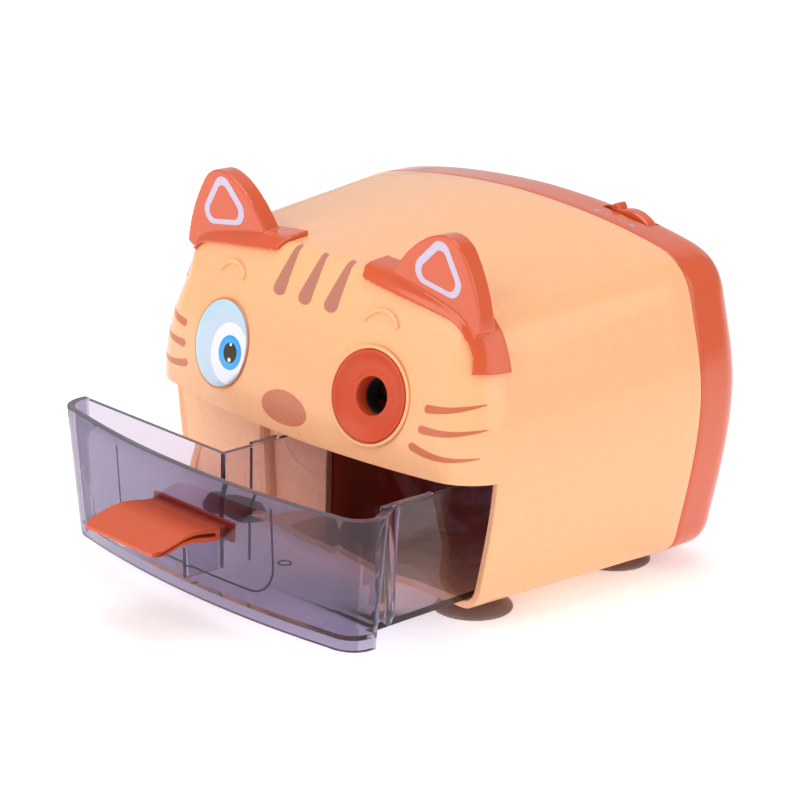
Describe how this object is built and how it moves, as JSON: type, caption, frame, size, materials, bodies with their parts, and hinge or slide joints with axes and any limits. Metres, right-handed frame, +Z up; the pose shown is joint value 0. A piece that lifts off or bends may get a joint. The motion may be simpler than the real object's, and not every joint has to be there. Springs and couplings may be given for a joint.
{
  "type": "electric pencil sharpener",
  "caption": "Desktop electric pencil sharpener with a plain animal face, pull-out shavings drawer, helical cutter driven through gears, point adjuster and suction feet.",
  "frame": {"origin": "middle of the footprint of the object with its drawer pulled out as stored, at the height the suction feet rest on", "axes": "+Z up, the face looks along -Y, +X to the right of someone facing the face; the housing is symmetric about X = 0"},
  "size_m": [0.1434, 0.1608, 0.1041],
  "materials": {
    "housing_shell": "smooth glossy moulded plastic, peach",
    "trim_orange": "smooth glossy moulded plastic, orange",
    "ring_red": "satin moulded plastic, red-orange",
    "smoke_clear": "transparent smoke-tinted moulded plastic",
    "eye_white": "smooth white plastic with a printed eye",
    "foot_soft": "soft moulded suction cup",
    "steel": "plain turned or drawn steel",
    "gear_white": "matte engineering plastic",
    "black_plastic": "matte black plastic",
    "board_green": "coated circuit board",
    "cell_sleeve": "glossy printed sleeve, plain",
    "brass": "machined brass"
  },
  "bodies": {
    "housing": {"main_shell": "housing_shell", "rear_cover": "trim_orange", "ear_cap_left": "trim_orange", "ear_cap_right": "trim_orange", "eye_disc": "eye_white", "pencil_ring": "ring_red", "bay_liner": "trim_orange", "front_plate": "black_plastic", "rear_plate": "black_plastic", "ring_gear": "gear_white", "rear_bush": "brass", "idler_axle": "steel", "motor_can": "steel", "motor_end_cap": "black_plastic", "pencil_guide": "black_plastic", "pencil_switch": "black_plastic", "drawer_switch": "black_plastic", "battery_box": "black_plastic", "battery_door": "housing_shell", "circuit_board": "board_green", "dc_jack": "black_plastic", "dc_jack_pin": "brass", "foot_front_left": "foot_soft", "foot_front_right": "foot_soft", "foot_rear_left": "foot_soft", "foot_rear_right": "foot_soft", "cover_screw_lower_left": "steel", "cover_screw_lower_right": "steel", "cover_screw_upper_left": "steel", "cover_screw_upper_right": "steel", "motor_screw_left": "steel", "motor_screw_right": "steel", "frame_post_1": "steel", "cell_1": "cell_sleeve", "frame_post_2": "steel", "cell_2": "cell_sleeve", "frame_post_3": "steel", "cell_3": "cell_sleeve", "frame_post_4": "steel", "cell_4": "cell_sleeve"},
    "drawer": {"drawer_bin": "smoke_clear", "drawer_handle": "trim_orange"},
    "carrier": {"cutter_carrier": "gear_white", "carrier_gear": "gear_white", "cutter_pin": "steel"},
    "cutter": {"helical_cutter": "steel", "cutter_gear": "steel"},
    "idler": {"idler_gear": "gear_white"},
    "motor_shaft": {"motor_pinion": "brass"},
    "adjuster": {"adjuster_wheel": "trim_orange"},
    "cam": {"stop_cam": "gear_white"},
    "stop": {"pencil_stop": "steel"},
    "lever": {"switch_lever": "gear_white"},
    "button": {"drawer_button": "ring_red"}
  },
  "joints": [
    {"name": "drawer_slide", "type": "slide", "parent": "housing", "child": "drawer", "axis": [0, 1, 0], "range_m": [-0.01, 0.0345]},
    {"name": "carrier_spin", "type": "hinge", "parent": "housing", "child": "carrier", "pos_m": [0.03, 0.02995, 0.0599], "axis": [0, 1, 0], "continuous": true},
    {"name": "cutter_spin", "type": "hinge", "parent": "carrier", "child": "cutter", "pos_m": [0.03, 0.02995, 0.0516], "axis": [0, 0.9877, 0.1564], "continuous": true},
    {"name": "idler_spin", "type": "hinge", "parent": "housing", "child": "idler", "pos_m": [-0.00327, 0.05895, 0.0529], "axis": [0, 1, 0], "continuous": true},
    {"name": "motor_spin", "type": "hinge", "parent": "housing", "child": "motor_shaft", "pos_m": [-0.029, 0.05895, 0.06105], "axis": [0, 1, 0], "continuous": true},
    {"name": "adjuster_turn", "type": "hinge", "parent": "housing", "child": "adjuster", "pos_m": [0.0343, 0.07195, 0.08453], "axis": [0, 1, 0], "range_deg": [-4.5, 56.5]},
    {"name": "cam_turn", "type": "hinge", "parent": "housing", "child": "cam", "pos_m": [0.03, 0.06695, 0.0599], "axis": [0, 1, 0], "range_deg": [-20, 5]},
    {"name": "stop_slide", "type": "slide", "parent": "housing", "child": "stop", "axis": [0, 1, 0], "range_m": [-0.00185, 0.00013]},
    {"name": "lever_tilt", "type": "hinge", "parent": "housing", "child": "lever", "pos_m": [0.03, 0.00435, 0.0739], "axis": [-1, 0, 0], "range_deg": [0, 12], "stiffness_Nm_per_rad": 0.002, "springref_deg": -5.73},
    {"name": "button_press", "type": "slide", "parent": "housing", "child": "button", "axis": [0, 1, 0], "range_m": [0, 0.0012], "stiffness_N_per_m": 300, "springref_m": -0.0005}
  ],
  "couplings": [
    {"joint": "cutter_spin", "follows": "carrier_spin", "ratio": -3.2},
    {"joint": "idler_spin", "follows": "carrier_spin", "ratio": -4.6667},
    {"joint": "motor_spin", "follows": "carrier_spin", "ratio": 20.533},
    {"joint": "adjuster_turn", "follows": "stop_slide", "rad_per_m": -526.32},
    {"joint": "cam_turn", "follows": "stop_slide", "rad_per_m": 148.45}
  ]
}
